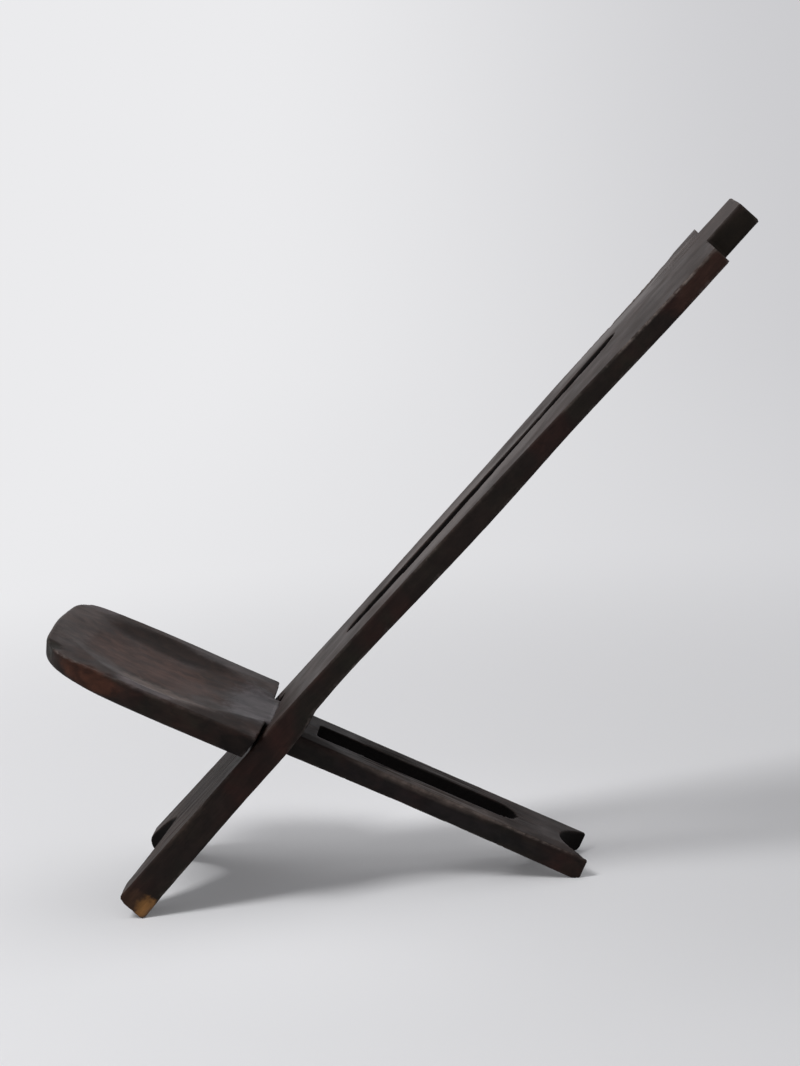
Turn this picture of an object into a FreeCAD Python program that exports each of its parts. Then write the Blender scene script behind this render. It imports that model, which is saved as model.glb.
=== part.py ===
import FreeCAD, Part
import math
import os

# A two-plank hardwood chair of the kind used for childbirth and rest in Africa.
# One long back plank leans to the rear; the seat plank is pushed through a slanted
# mortise in it until its shoulders meet the back plank, and its tail runs down to the floor.
# Both planks are carved from the solid and nothing but their own weight holds them together.
#
# Millimetres and degrees. +Z is up, -Y is the front that the sitter faces, and X is across.
# Each plank is drawn lying flat: X across, Y along the grain, Z out of its show face,
# and is then turned about X to the way it stands.

Vector = FreeCAD.Vector

# How the back plank stands. The seat plank's slope follows from its tail, which stands on the floor.
back_rise = 44.7

# Back plank: lengths run from the foot end along the front face
back_length = 907.0
shoulder_width = 314.0
crossing_along = 231.6
foot_thickness = 35.0
front_crown = 3.0
rear_crown = 5.5
# Sections of the back plank: shares of back_length, half shoulder_width, foot_thickness and the
# crowns. The lower part is thick, steps down behind the crossing, and becomes a crowned blade.
lower_section_shares = (
    (0.0, 0.735, 1.0, 0.4, 0.0),
    (0.035, 0.717, 0.95, 0.4, 0.0),
    (0.11, 0.669, 0.92, 0.3, 0.0),
    (0.185, 0.628, 0.892, 0.1, 0.0),
    (0.255, 0.597, 0.888, 0.0, 0.0),
    (0.292, 0.587, 0.811, 0.0, 0.0),
)
blade_section_shares = (
    (0.314, 0.584, 0.668, 0.0, 0.0),
    (0.345, 0.584, 0.646, 0.0, 0.0),
    (0.47, 0.608, 0.671, 0.0, 0.0),
    (0.625, 0.675, 0.7, 0.1, 0.1),
    (0.757, 0.785, 0.611, 0.55, 0.55),
    (0.87, 0.92, 0.589, 0.85, 0.85),
    (0.96, 0.993, 0.577, 0.98, 0.98),
    (1.0, 1.0, 0.571, 1.0, 1.0),
)

# Handle stub on top of the back plank
handle_width = 126.0
handle_length = 49.4
handle_taper = 2.0
handle_inset = 0.15

# Long slot through the blade
slot_start = 350.0
slot_length = 423.0
slot_width = 52.0
slot_low_end = 19.0
slot_high_end = 16.0
# Flank of the slot between its rounded ends as (share of slot_length, share of half slot_width)
slot_outline_shares = (
    (0.045, 0.7),
    (0.16, 0.93),
    (0.312, 1.0),
    (0.461, 0.94),
    (0.605, 0.7),
    (0.681, 0.6),
    (0.76, 0.67),
    (0.868, 0.81),
    (0.962, 0.77),
)

# Arched notch that leaves two feet
foot_notch_width = 160.0
foot_notch_height = 72.0
# Flank of the foot notch as (share of foot_notch_height, share of half foot_notch_width)
foot_notch_shares = (
    (0.11, 0.965),
    (0.26, 0.9),
    (0.4, 0.79),
    (0.67, 0.54),
    (0.79, 0.38),
    (0.92, 0.17),
)

# Seat plank: lengths run from the front edge of the seat towards the tail
seat_width = 250.0
seat_length = 252.5
seat_thickness = 25.8
seat_front_thickness = 18.5
seat_rise_along = 88.0
# Half outline of the seat as (share of seat_length, share of half seat_width), on the show face
# and underneath, where the front is cut back
seat_top_shares = (
    (0.0, 0.0),
    (0.0087, 0.43),
    (0.025, 0.72),
    (0.072, 0.895),
    (0.195, 0.97),
    (0.369, 1.0),
    (0.678, 0.995),
    (1.0, 0.984),
)
seat_low_shares = (
    (0.026, 0.0),
    (0.036, 0.41),
    (0.058, 0.665),
    (0.108, 0.82),
    (0.22, 0.93),
    (0.385, 0.982),
    (0.678, 0.994),
    (1.0, 0.984),
)
# Gaps from the shoulders to the back plank: on the show face and underneath, at the root of
# the tail and at the seat's sides
root_top_gap = 4.4
root_low_gap = 0.3
side_top_gap = 5.6
side_low_gap = 4.2

# Tail of the seat plank
tail_width = 99.0
tail_length = 365.7
tail_waist_thickness = 23.4
tail_end_thickness = 25.6
tail_waist_share = 0.588

# Slot through the tail, square at the front and round at the rear; its ends stand off the
# shoulders and off the tail's end
tail_slot_start = 51.7
tail_slot_rear_gap = 82.0
tail_slot_width = 43.0
tail_slot_front_radius = 3.0

# Notch in the end of the tail
tail_notch_width = 90.0
tail_notch_depth = 31.0
tail_notch_mid_along = 9.0
tail_notch_mid_width = 50.0

# Hollow in the seat
dish_depth = 9.0
dish_start = 13.0
dish_length = 239.0
dish_width = 216.0
# Poles of the hollow's section: how far out the wall's pole is, and how deep it and the middle are
dish_wall_share = 0.75
dish_wall_depth_share = 1.25
dish_middle_depth_share = 1.0
# Sections of the hollow as (share of dish_length, share of half dish_width, share of dish_depth)
dish_section_shares = (
    (0.0, 0.25, 0.02),
    (0.12, 0.62, 0.35),
    (0.3, 0.92, 0.83),
    (0.46, 1.0, 1.0),
    (0.62, 0.92, 0.97),
    (0.8, 0.7, 0.72),
    (1.0, 0.45, 0.04),
)

# Mortise, which is the section of the tail and this much more
mortise_side_clearance = 2.5
mortise_bottom_clearance = 0.3
# The mortise was cut out of square: its upper edge stands further off the tail at -X
mortise_near_clearance = 2.0
mortise_far_clearance = 9.0

# Wear: what the floor has rubbed off the heels and the tail, and rounded edges
heel_wear = 2.1
tail_wear = 4.25
near_toe_radius = 8.0
far_toe_radius = 16.0
edge_radius = 2.0
handle_radius = 1.5
seat_edge_radius = 3.5
seat_bottom_radius = 4.0

# Cuts run this far past what they cut
overrun = 30.0


def mirrored(points):
    """The points, then the same points at -X in reverse order, without repeating one on X = 0."""
    other = [Vector(-p.x, p.y, p.z) for p in reversed(points) if abs(p.x) > 0]
    return points + other


def curve(points):
    """One smooth edge through the points."""
    spline = Part.BSplineCurve()
    spline.interpolate(points)
    return spline.toShape()


def line(start, end):
    return Part.makeLine(start, end)


def prism(edges, low, high):
    """The solid that a closed outline in X and Y makes from height low to height high."""
    wire = Part.Wire(Part.__sortEdges__(edges))
    wire.translate(Vector(0, 0, low))
    return Part.Face(wire).extrude(Vector(0, 0, high - low))


def side_prism(edges, width):
    """The solid that a side profile makes across the plank, from where it is drawn to width further."""
    return Part.Face(Part.Wire(edges)).extrude(Vector(width, 0, 0))


def crowned_section(along, half_width, thickness, front, rear, radius):
    """Closed wire across the back plank: rounded edges, and faces that may bulge."""
    inner = half_width - radius
    bend = radius * (1 - math.sqrt(0.5))
    front_curve = Part.BezierCurve()
    front_curve.setPoles([
        Vector(-inner, along, 0), Vector(0, along, 2 * front), Vector(inner, along, 0)
    ])
    rear_curve = Part.BezierCurve()
    rear_curve.setPoles([
        Vector(inner, along, -thickness),
        Vector(0, along, -thickness - 2 * rear),
        Vector(-inner, along, -thickness),
    ])
    low = radius - thickness

    def corner(start, middle, end):
        return Part.Arc(
            Vector(start[0], along, start[1]),
            Vector(middle[0], along, middle[1]),
            Vector(end[0], along, end[1]),
        ).toShape()

    outer = half_width - bend
    return Part.Wire([
        front_curve.toShape(),
        corner((inner, 0), (outer, -bend), (half_width, -radius)),
        line(Vector(half_width, along, -radius), Vector(half_width, along, low)),
        corner((half_width, low), (outer, bend - thickness), (inner, -thickness)),
        rear_curve.toShape(),
        corner((-inner, -thickness), (-outer, bend - thickness), (-half_width, low)),
        line(Vector(-half_width, along, low), Vector(-half_width, along, -radius)),
        corner((-half_width, -radius), (-outer, -bend), (-inner, 0)),
    ])


def back_sections(shares):
    """Wires across the back plank from a table of shares."""
    return [
        crowned_section(
            along * back_length,
            across * shoulder_width / 2,
            thick * foot_thickness,
            front * front_crown,
            rear * rear_crown,
            edge_radius,
        )
        for along, across, thick, front, rear in shares
    ]


def handle():
    """Stub above the shoulders, whose faces carry the middle of the crowned blade on."""
    half = handle_width / 2
    flat = 1 - (handle_width / shoulder_width) ** 2
    front = front_crown * flat - handle_inset
    rear = rear_crown * flat - handle_inset
    edge_thickness = blade_section_shares[-1][2] * foot_thickness
    sections = [
        crowned_section(
            along,
            half_width,
            edge_thickness + front + rear,
            front_crown * (1 - flat),
            rear_crown * (1 - flat),
            handle_radius,
        )
        for along, half_width in (
            (back_length, half),
            (back_length + handle_length, half - handle_taper),
        )
    ]
    stub = Part.makeLoft(sections, True, True)
    stub.translate(Vector(0, 0, front))
    return stub


def toe_profile(toe_radius, side):
    """Half of the plank's room seen from the side: all of it but what is worn off one toe."""
    bend = toe_radius * (1 - math.sqrt(0.5))
    top = back_length + handle_length + overrun
    low = -foot_thickness - overrun
    front = front_crown * lower_section_shares[0][3]
    toe_end = Vector(0, toe_radius, front)
    toe_middle = Vector(0, bend, front - bend)
    toe_start = Vector(0, 0, front - toe_radius)
    corners = [
        toe_start,
        Vector(0, 0, low),
        Vector(0, top, low),
        Vector(0, top, overrun),
        Vector(0, toe_radius, overrun),
        toe_end,
    ]
    edges = [Part.Arc(toe_end, toe_middle, toe_start).toShape()]
    edges += [line(a, b) for a, b in zip(corners, corners[1:])]
    return side_prism(edges, side * (shoulder_width / 2 + overrun))


def back_body():
    """The plank before its openings are cut: thick foot, step, crowned blade and handle."""
    lower = back_sections(lower_section_shares)
    blade = back_sections(blade_section_shares)
    plank = Part.makeLoft(lower + [blade[0]], True, True)
    plank = plank.fuse(Part.makeLoft(blade, True, False))
    plank = plank.fuse(handle())
    near = toe_profile(near_toe_radius, 1)
    far = toe_profile(far_toe_radius, -1)
    return plank.common(near.fuse(far))


def blade_slot():
    """Cutter for the long slot: two waisted flanks between rounded ends."""
    flank = [
        Vector(across * slot_width / 2, slot_start + along * slot_length, 0)
        for along, across in slot_outline_shares
    ]
    other = [Vector(-p.x, p.y, 0) for p in flank]
    low = Vector(0, flank[0].y - slot_low_end, 0)
    high = Vector(0, flank[-1].y + slot_high_end, 0)
    return prism(
        [
            curve(flank),
            Part.Arc(flank[-1], high, other[-1]).toShape(),
            curve(other),
            Part.Arc(other[0], low, flank[0]).toShape(),
        ],
        -foot_thickness - overrun,
        overrun,
    )


def foot_notch():
    """Cutter for the arch between the two feet."""
    half = foot_notch_width / 2
    flank = [Vector(half, 0, 0)]
    for along, across in foot_notch_shares:
        flank.append(Vector(across * half, along * foot_notch_height, 0))
    points = mirrored(flank + [Vector(0, foot_notch_height, 0)])
    right_low = Vector(half, -overrun, 0)
    left_low = Vector(-half, -overrun, 0)
    return prism(
        [
            line(left_low, right_low),
            line(right_low, points[0]),
            curve(points),
            line(points[-1], left_low),
        ],
        -foot_thickness - overrun,
        overrun,
    )


def seat_outline_wire(height):
    """The seat's outline at a height: rounded front, nearly straight sides, and square rear."""
    sink = -height / seat_thickness
    right = [
        Vector(
            (top[1] + sink * (low[1] - top[1])) * seat_width / 2,
            (top[0] + sink * (low[0] - top[0])) * seat_length,
            height,
        )
        for top, low in zip(seat_top_shares, seat_low_shares)
    ]
    left = [Vector(-p.x, p.y, p.z) for p in reversed(right[1:])]
    around = left + right
    return Part.Wire([curve(around), line(around[-1], around[0])])


def seat_outline():
    """The room inside the seat's outline, whose front slopes back underneath."""
    high = seat_outline_wire(seat_edge_radius)
    low = seat_outline_wire(-seat_thickness - seat_edge_radius)
    return Part.makeLoft([high, low], True, True)


def seat_side():
    """The seat plank seen from the side: it thins towards its front edge and along its tail."""
    start = -seat_width / 2 - overrun
    end = seat_length + tail_length + overrun
    rise = seat_thickness - seat_front_thickness
    front_rise = rise * ((seat_rise_along + overrun) / seat_rise_along) ** 2
    front = Vector(start, -overrun, front_rise - seat_thickness)
    bend = Vector(start, (seat_rise_along - overrun) / 2, -seat_thickness)
    level = Vector(start, seat_rise_along, -seat_thickness)
    underside = Part.BezierCurve()
    underside.setPoles([front, bend, level])
    tail_start = Vector(start, seat_length - overrun, -seat_thickness)
    waist = Vector(start, seat_length + tail_waist_share * tail_length, -tail_waist_thickness)
    tail_end = Vector(start, end, -tail_end_thickness)
    top_end = Vector(start, end, 0)
    top_front = Vector(start, -overrun, 0)
    edges = [
        underside.toShape(),
        line(level, tail_start),
        Part.Arc(tail_start, waist, tail_end).toShape(),
        line(tail_end, top_end),
        line(top_end, top_front),
        line(top_front, front),
    ]
    return side_prism(edges, seat_width + 2 * overrun)


def shoulder_cut(side):
    """Cutter behind half the seat, whose face leans much as the back plank does."""
    meet = math.radians(back_rise + seat_fall())
    lean = seat_thickness / math.tan(meet)
    tail_half = tail_width / 2
    far = seat_width / 2 + overrun
    end = seat_length + overrun
    wires = []
    for height in (overrun, -seat_thickness - overrun):
        sink = -height / seat_thickness
        root_gap = root_top_gap + sink * (root_low_gap - root_top_gap)
        side_gap = side_top_gap + sink * (side_low_gap - side_top_gap)
        root = seat_length - sink * lean - root_gap / math.sin(meet)
        slant = (root_gap - side_gap) / math.sin(meet) / (seat_width / 2 - tail_half)
        points = [
            Vector(0, root - slant * tail_half, height),
            Vector(side * far, root + slant * (far - tail_half), height),
            Vector(side * far, end, height),
            Vector(0, end, height),
        ]
        wires.append(Part.makePolygon(points + [points[0]]))
    return Part.makeLoft(wires, True, True)


def tail():
    """The tail with its long edges rounded; it starts inside the seat."""
    start = seat_length - seat_width / 2
    room = Part.makeBox(
        tail_width,
        seat_length + tail_length - start,
        seat_thickness + 2 * overrun,
        Vector(-tail_width / 2, start, -seat_thickness - overrun),
    )
    bar = seat_side().common(room)
    edges = [edge for edge in bar.Edges if edge.BoundBox.YLength > tail_width]
    return bar.makeFillet(edge_radius, edges)


def tail_slot():
    """Cutter for the slot in the tail."""
    half = tail_slot_width / 2
    start = seat_length + tail_slot_start
    straight = seat_length + tail_length - tail_slot_rear_gap - half
    radius = tail_slot_front_radius
    diagonal = radius * (1 - math.sqrt(0.5))
    corner_right = Part.Arc(
        Vector(half - radius, start, 0),
        Vector(half - diagonal, start + diagonal, 0),
        Vector(half, start + radius, 0),
    )
    corner_left = Part.Arc(
        Vector(-half, start + radius, 0),
        Vector(-half + diagonal, start + diagonal, 0),
        Vector(-half + radius, start, 0),
    )
    round_end = Part.Arc(
        Vector(half, straight, 0),
        Vector(0, straight + half, 0),
        Vector(-half, straight, 0),
    )
    return prism(
        [
            line(Vector(-half + radius, start, 0), Vector(half - radius, start, 0)),
            corner_right.toShape(),
            line(Vector(half, start + radius, 0), Vector(half, straight, 0)),
            round_end.toShape(),
            line(Vector(-half, straight, 0), Vector(-half, start + radius, 0)),
            corner_left.toShape(),
        ],
        -seat_thickness - overrun,
        overrun,
    )


def tail_notch():
    """Cutter for the curved notch in the end of the tail."""
    end = seat_length + tail_length
    half = tail_notch_width / 2
    middle = tail_notch_mid_width / 2
    apex = Vector(0, end - tail_notch_depth, 0)
    right = Vector(half, end, 0)
    left = Vector(-half, end, 0)
    right_middle = Vector(middle, apex.y + tail_notch_mid_along, 0)
    left_middle = Vector(-middle, apex.y + tail_notch_mid_along, 0)
    right_out = Vector(half, end + overrun, 0)
    left_out = Vector(-half, end + overrun, 0)
    return prism(
        [
            Part.Arc(apex, right_middle, right).toShape(),
            line(right, right_out),
            line(right_out, left_out),
            line(left_out, left),
            Part.Arc(left, left_middle, apex).toShape(),
        ],
        -seat_thickness - overrun,
        overrun,
    )


def dish_section(along, half_width, depth):
    """Closed wire across the hollow: steeper near its rims, and walls that rise past the seat."""
    wall = dish_wall_share * half_width
    wall_depth = dish_wall_depth_share * depth
    hollow = Part.BezierCurve()
    hollow.setPoles([
        Vector(-half_width, along, 0),
        Vector(-wall, along, -wall_depth),
        Vector(0, along, -dish_middle_depth_share * depth),
        Vector(wall, along, -wall_depth),
        Vector(half_width, along, 0),
    ])
    return Part.Wire([
        hollow.toShape(),
        line(Vector(half_width, along, 0), Vector(half_width, along, overrun)),
        line(Vector(half_width, along, overrun), Vector(-half_width, along, overrun)),
        line(Vector(-half_width, along, overrun), Vector(-half_width, along, 0)),
    ])


def seat_dish():
    """Cutter for the hollow of the seat, which narrows and fades out towards the tail."""
    sections = [
        dish_section(
            dish_start + along * dish_length, across * dish_width / 2, deep * dish_depth
        )
        for along, across, deep in dish_section_shares
    ]
    return Part.makeLoft(sections, True, False)


def stood(shape, angle, pivot_along, meeting):
    """The plank turned about X, with its point at pivot_along on the show face at the meeting point."""
    shape = shape.copy()
    shape.translate(Vector(0, -pivot_along, 0))
    shape.rotate(Vector(0, 0, 0), Vector(1, 0, 0), angle)
    shape.translate(meeting)
    return shape


def crossing_point():
    """Where the seat's top face meets the back's front face, above a heel worn flat on the floor."""
    rise = math.radians(back_rise)
    toe_height = foot_thickness * math.cos(rise) - heel_wear
    return Vector(
        0, crossing_along * math.cos(rise), toe_height + crossing_along * math.sin(rise)
    )


def seat_fall():
    """The seat plank's slope, at which the worn end of its tail stands on the floor."""
    height = crossing_point().z + tail_wear
    diagonal = math.hypot(tail_length, tail_end_thickness)
    corner = math.atan(tail_end_thickness / tail_length)
    return math.degrees(math.asin(height / diagonal) - corner)


def floor_cutter():
    reach = back_length + handle_length + seat_length + tail_length
    return Part.makeBox(
        2 * reach, 2 * reach, overrun, Vector(-reach, -reach, -overrun)
    )


def mortise(meeting):
    """Cutter for the slanted mortise, along the seat plank: the tail's section with its clearances."""
    half = tail_width / 2 + mortise_side_clearance
    reach = foot_thickness + 2 * overrun
    low = -seat_thickness - mortise_bottom_clearance
    points = [
        Vector(-half, -reach, low),
        Vector(half, -reach, low),
        Vector(half, -reach, mortise_near_clearance),
        Vector(-half, -reach, mortise_far_clearance),
    ]
    face = Part.Face(Part.makePolygon(points + [points[0]]))
    return stood(face.extrude(Vector(0, 2 * reach, 0)), -seat_fall(), 0, meeting)


def back_plank(meeting):
    plank = back_body().cut(blade_slot()).cut(foot_notch())
    plank = stood(plank, back_rise, crossing_along, meeting)
    plank = plank.cut(mortise(meeting)).cut(floor_cutter())
    return plank.removeSplitter()


def seat_edges(plank, top):
    """The curved edges round the seat, on its show face or underneath."""
    return [
        edge
        for edge in plank.Edges
        if isinstance(edge.Curve, Part.BSplineCurve)
        and (edge.BoundBox.ZMin > -seat_edge_radius) == top
    ]


def seat_plank(meeting):
    plank = seat_side().common(seat_outline())
    plank = plank.makeFillet(seat_edge_radius, seat_edges(plank, True))
    plank = plank.makeFillet(seat_bottom_radius, seat_edges(plank, False))
    plank = plank.cut(shoulder_cut(1)).cut(shoulder_cut(-1)).fuse(tail())
    plank = plank.cut(tail_slot()).cut(tail_notch()).cut(seat_dish())
    plank = stood(plank, -seat_fall(), seat_length, meeting)
    return plank.cut(floor_cutter()).removeSplitter()


def main():
    meeting = crossing_point()
    parts = {"back_plank": back_plank(meeting), "seat_plank": seat_plank(meeting)}
    box = Part.makeCompound(list(parts.values())).optimalBoundingBox(False)
    centre = Vector(-box.Center.x, -box.Center.y, 0)
    os.makedirs("parts", exist_ok=True)
    for name, shape in parts.items():
        shape.translate(centre)
        solid = shape.Solids[0]
        print(name, len(shape.Solids), "solid", solid.isValid(), round(solid.Volume / 1000), "cm3")
        solid.exportStep("parts/" + name + ".step")
    print("size", round(box.XLength, 1), round(box.YLength, 1), round(box.ZLength, 1))
    print("crossing at", round(meeting.y - box.Center.y, 2), round(meeting.z, 2))


main()
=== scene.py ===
import math

import bmesh
import bpy
import numpy as np
from bpy.props import FloatProperty, FloatVectorProperty, PointerProperty, StringProperty
from mathutils import Matrix, Vector, noise
from mathutils.bvhtree import BVHTree
from mathutils.kdtree import KDTree


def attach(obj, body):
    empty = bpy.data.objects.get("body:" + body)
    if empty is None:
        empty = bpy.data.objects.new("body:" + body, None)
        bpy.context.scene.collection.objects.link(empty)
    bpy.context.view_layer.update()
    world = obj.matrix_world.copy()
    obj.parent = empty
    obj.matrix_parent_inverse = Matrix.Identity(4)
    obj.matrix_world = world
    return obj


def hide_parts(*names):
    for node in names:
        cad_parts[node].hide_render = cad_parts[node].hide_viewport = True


bl_info = {
    "name": "African Birthing Chair",
    "version": (1, 0, 0),
    "blender": (4, 5, 0),
    "location": "3D View > Sidebar > Chair",
    "description": "Carves, stains and lights the two planks of an African birthing chair",
    "category": "Object",
}

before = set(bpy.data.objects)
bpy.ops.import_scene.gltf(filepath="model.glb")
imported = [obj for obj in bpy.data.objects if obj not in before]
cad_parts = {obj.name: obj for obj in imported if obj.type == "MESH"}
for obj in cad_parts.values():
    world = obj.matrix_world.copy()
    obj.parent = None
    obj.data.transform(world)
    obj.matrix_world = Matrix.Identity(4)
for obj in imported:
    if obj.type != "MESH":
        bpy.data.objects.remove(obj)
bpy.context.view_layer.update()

# One millimetre in the scene's metres
MM = 0.001

# ---- How the planks lie. Each is worked flat, in mm: x across, y along it, z up from its show face

# Where the seat's top and the back's front meet, and the slopes of the two planks
MEETING = Vector((0, -152.23, 185.68))
BACK_RISE = math.radians(44.7)
SEAT_FALL = math.radians(27.2)
# How far that meeting lies along each plank, from the foot and from the front of the seat
BACK_CROSSING = 231.6
SEAT_CROSSING = 252.5

# The back stays true about the mortise: how far its middle is past the crossing, and how long
MORTISE_PAST = 10
MORTISE_REACH = 60
# The seat stays true from this far before the crossing to the end of its tail
TONGUE_BEFORE = 15
# Beyond what stays true the unevenness comes in over this length
EASE_IN = 30

# The sat-on hollow with its rim: its two ends, its half width and how level it has to be
HOLLOW_FRONT, HOLLOW_REAR, HOLLOW_SIDE = 12, 232, 106
HOLLOW_LEVEL = 0.8
# The openings' walls lie this near to the middle: the back's short of this length, and the
# tail's past that one
BACK_INSIDE, BACK_OPENINGS_END = 82, 900
TAIL_INSIDE, TAIL_START = 47, 280

# ---- The meshes

# Edges that turn by more than this are arrises, followed by points this far apart in mm, and
# a vertex nearer to one than this share of the mesh size is pulled onto it
ARRIS_TURN = math.radians(40)
ARRIS_SPACING = 0.4
ARRIS_PULL = 0.55
# Rounds of smoothing: to settle a mesh on its solid, to rub the hollow, to find the arrises
SETTLE_ROUNDS = 3
HOLLOW_ROUNDS = 60
PROUD_ROUNDS = 8

# ---- Hand work, in mm where it is a length

# Long and short hollows: width and length of their waves, and the long ones' share of the depth
LONG_WAVE = (55, 120)
SHORT_WAVE = (17, 34)
LONG_SHARE = 0.75
# An arris that stands this proud is rubbed down in full. Along it the rubbing varies in waves of
# this size, by this swing about this level
PROUD_FULL = 0.9
RUB_WAVE = 11
RUB_SWING = 0.9
RUB_LEVEL = 0.35
# It shows pale from this height on, in full this much higher
PALE_FROM, PALE_WIDTH = 0.45, 0.5
# A facet's deepest cut, how far past its reach it fades out, and the least level face it cuts
FACET_MOST = 4
FACET_FADE = 1.5
FACET_LEVEL = 0.3
# A chip's outline is uneven by this share in these waves; the power rounds its floor
CHIP_ROUGH = 0.45
CHIP_WAVE = 4.5
CHIP_POWER = 0.8
# How level a face is, from 0 upright to 1 flat: a wall is less than this, in full this much less,
# and a show face is more than this, in full this much more
WALL_LEVEL, WALL_WIDTH = 0.75, 0.2
SHOW_LEVEL, SHOW_WIDTH = 0.5, 0.4

# Dents and chips of the back plank: place, reach and depth
BACK_CHIPS = (
    ((154, 852, -2), 5, 1.3),
    ((157, 905, 0), 4, 1.2),
    ((93, 266, -30), 6, 2.0),
    ((137, 735, 0), 4, 0.8),
    ((98, 455, 0), 4, 0.7),
    ((93, 330, 0), 5, 0.7),
    ((101, 130, 0), 5, 0.9),
    ((-140, 770, 0), 5, 1.0),
    ((-157, 890, -14), 6, 1.4),
    ((62, 956, -2), 4, 1.0),
    ((-60, 955, -20), 6, 1.6),
    ((119, 13, -26), 9, 1.3),
    ((121, 2, -20), 7, 1.0),
)
# The same for the seat plank
SEAT_CHIPS = (
    ((95, 14, -3), 13, 1.8),
    ((116, 62, 0), 5, 0.8),
    ((120, 84, 0), 6, 0.9),
    ((124, 108, 0), 5, 0.8),
    ((0, 6, -12), 8, 0.8),
    ((47, 612, -2), 6, 1.2),
    ((-48, 616, -22), 7, 1.5),
    ((49, 470, 0), 4, 0.7),
)

# Facets cut by the adze: a point, the way down the slope, how far it reaches, how much it falls
BACK_FACETS = (
    ((-146, 850, 0), (-1, -0.12), 160, 0.09),
    ((-112, 720, 0), (-1, 0.25), 130, 0.05),
)
SEAT_FACETS = (
    ((78, 72, 0), (0.734, -0.68), 60, 0.045),
    ((118, 200, 0), (1, 0.1), 60, 0.08),
)

# ---- The wood's figure: width and length in mm of what runs along the grain

# Fibres, drawn a little coarser than real ones so that they show, and growth bands
FIBRE = (1.0, 45)
BAND = (9, 150)
# Blotches of the rubbed stain, as wide as a finger
BLOTCH = (13, 19)
# Lines of the grain where weather has opened it
OPEN_LINE = (2.2, 70)
# Clouds in the stain, a hand's breadth across; smaller ones, moved aside; and scuffs
CLOUD = 75
SMALL_CLOUD = 45
ASIDE = (310, 170, 90)
SCUFF = 7

# A spot is full up to this share of its reach, be it worn or painted as light and shade;
# how uneven a weathered one's outline is
FULL_REACH = 0.55
WEATHER_ROUGH = 0.3
# How far open grain darkens the wood and how deep it looks beside the scuffs
LINE_SHADE = 0.4
LINE_RELIEF = 0.8
FIBRE_RELIEF = 0.35
# Depth and strength of the finest relief, the wax's faint shine, and the roughness of dusty
# grain and of dull old wax
RELIEF_DEPTH = 0.5 * MM
RELIEF_STRENGTH = 0.25
WAX_SHINE = 0.12
DUSTY_GRAIN = 0.85
OLD_WAX = 0.9

# ---- The paper, in metres from the chair's middle

# Painted light: the paper's colour is this much brighter under the chair, fading
# between these distances
POOL = (0.05, 0.5)
POOL_GAIN = 1.13
# It is seen as a pale glow far off, coming in between these distances, and by this share
# even close by, where the glow is painted light over the chair's shadow
FAR = (0.45, 1.9)
FAR_LEAST = 0.13
# From the lit side to the other, along the floor, where the paper's colour is painted
# darker as shade
LIT_TO_DIM = (-1.0, 1.4)
# The sheet's half width, where it starts to bend up, the bend's radius, and its rise above that
SHEET_HALF, SHEET_FAR, SHEET_BEND, SHEET_RISE = 20.0, -4.6, 3.0, 6.0
BEND_STEPS = 24

# ---- The camera: its sensor's long side in mm, and how near and far it sees in metres
SENSOR = 36
SEES_FROM, SEES_TO = 0.05, 60

# Sockets of a Mix node set to colours
FACTOR, COLOUR_A, COLOUR_B, COLOUR_OUT = 0, 6, 7, 2


def linear(hex_colour):
    """An sRGB colour written as #rrggbb, as linear red, green, blue and alpha."""
    channels = [int(hex_colour[i:i + 2], 16) / 255 for i in (1, 3, 5)]
    return tuple(
        c / 12.92 if c <= 0.04045 else ((c + 0.055) / 1.055) ** 2.4 for c in channels
    ) + (1.0,)


def laid_flat(angle, crossing):
    """Matrix from the standing chair in metres to a plank lying flat in millimetres."""
    turn = Matrix.Rotation(angle, 4, "X")
    to_mm = Matrix.Scale(1 / MM, 4)
    return Matrix.Translation((0, crossing, 0)) @ turn @ Matrix.Translation(-MEETING) @ to_mm


BACK_FLAT = laid_flat(-BACK_RISE, BACK_CROSSING)
SEAT_FLAT = laid_flat(SEAT_FALL, SEAT_CROSSING)


class ChairWood(bpy.types.PropertyGroup):
    """Colours and wear of the two hardwood planks."""

    stain: StringProperty(
        name="Stain", description="Colour of the stained faces", default="#1b1310"
    )
    red_stain: StringProperty(
        name="Red stain", description="Where the wood shows red", default="#291511"
    )
    green_stain: StringProperty(
        name="Green stain", description="Where the stain has aged", default="#1a1712"
    )
    # Lighter colour of the upward show faces: handling wear, and painted light where these faces
    # catch more of it
    handled_and_lit: StringProperty(
        name="Handled", description="Colour of the show faces", default="#271b17"
    )
    # Painted shade: the darker colour laid on the walls of the slots and notches
    recess_shade: StringProperty(
        name="Recess", description="Colour inside the slots and notches", default="#0d0a09"
    )
    rubbed: StringProperty(
        name="Rubbed wood", description="Colour of the worn hollow", default="#43302a"
    )
    # Pale colour of worn arrises, also laid on as one painted glint on the seat
    arris: StringProperty(
        name="Worn arris", description="Colour along the worn edges", default="#6c625d"
    )
    bare: StringProperty(
        name="Bare wood", description="Colour where a chip broke off", default="#7a5630"
    )
    back_grid: FloatProperty(
        name="Back mesh size", description="Spacing of the back plank's mesh in mm",
        default=2.3, min=1.0,
    )
    seat_grid: FloatProperty(
        name="Seat mesh size", description="Spacing of the seat plank's mesh in mm",
        default=1.9, min=1.0,
    )
    unevenness: FloatProperty(
        name="Unevenness", description="Depth of the hand-worked hollows in mm",
        default=0.5, min=0.0,
    )
    raggedness: FloatProperty(
        name="Raggedness", description="How far the arrises are rubbed down in mm",
        default=0.15, min=0.0,
    )


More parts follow.
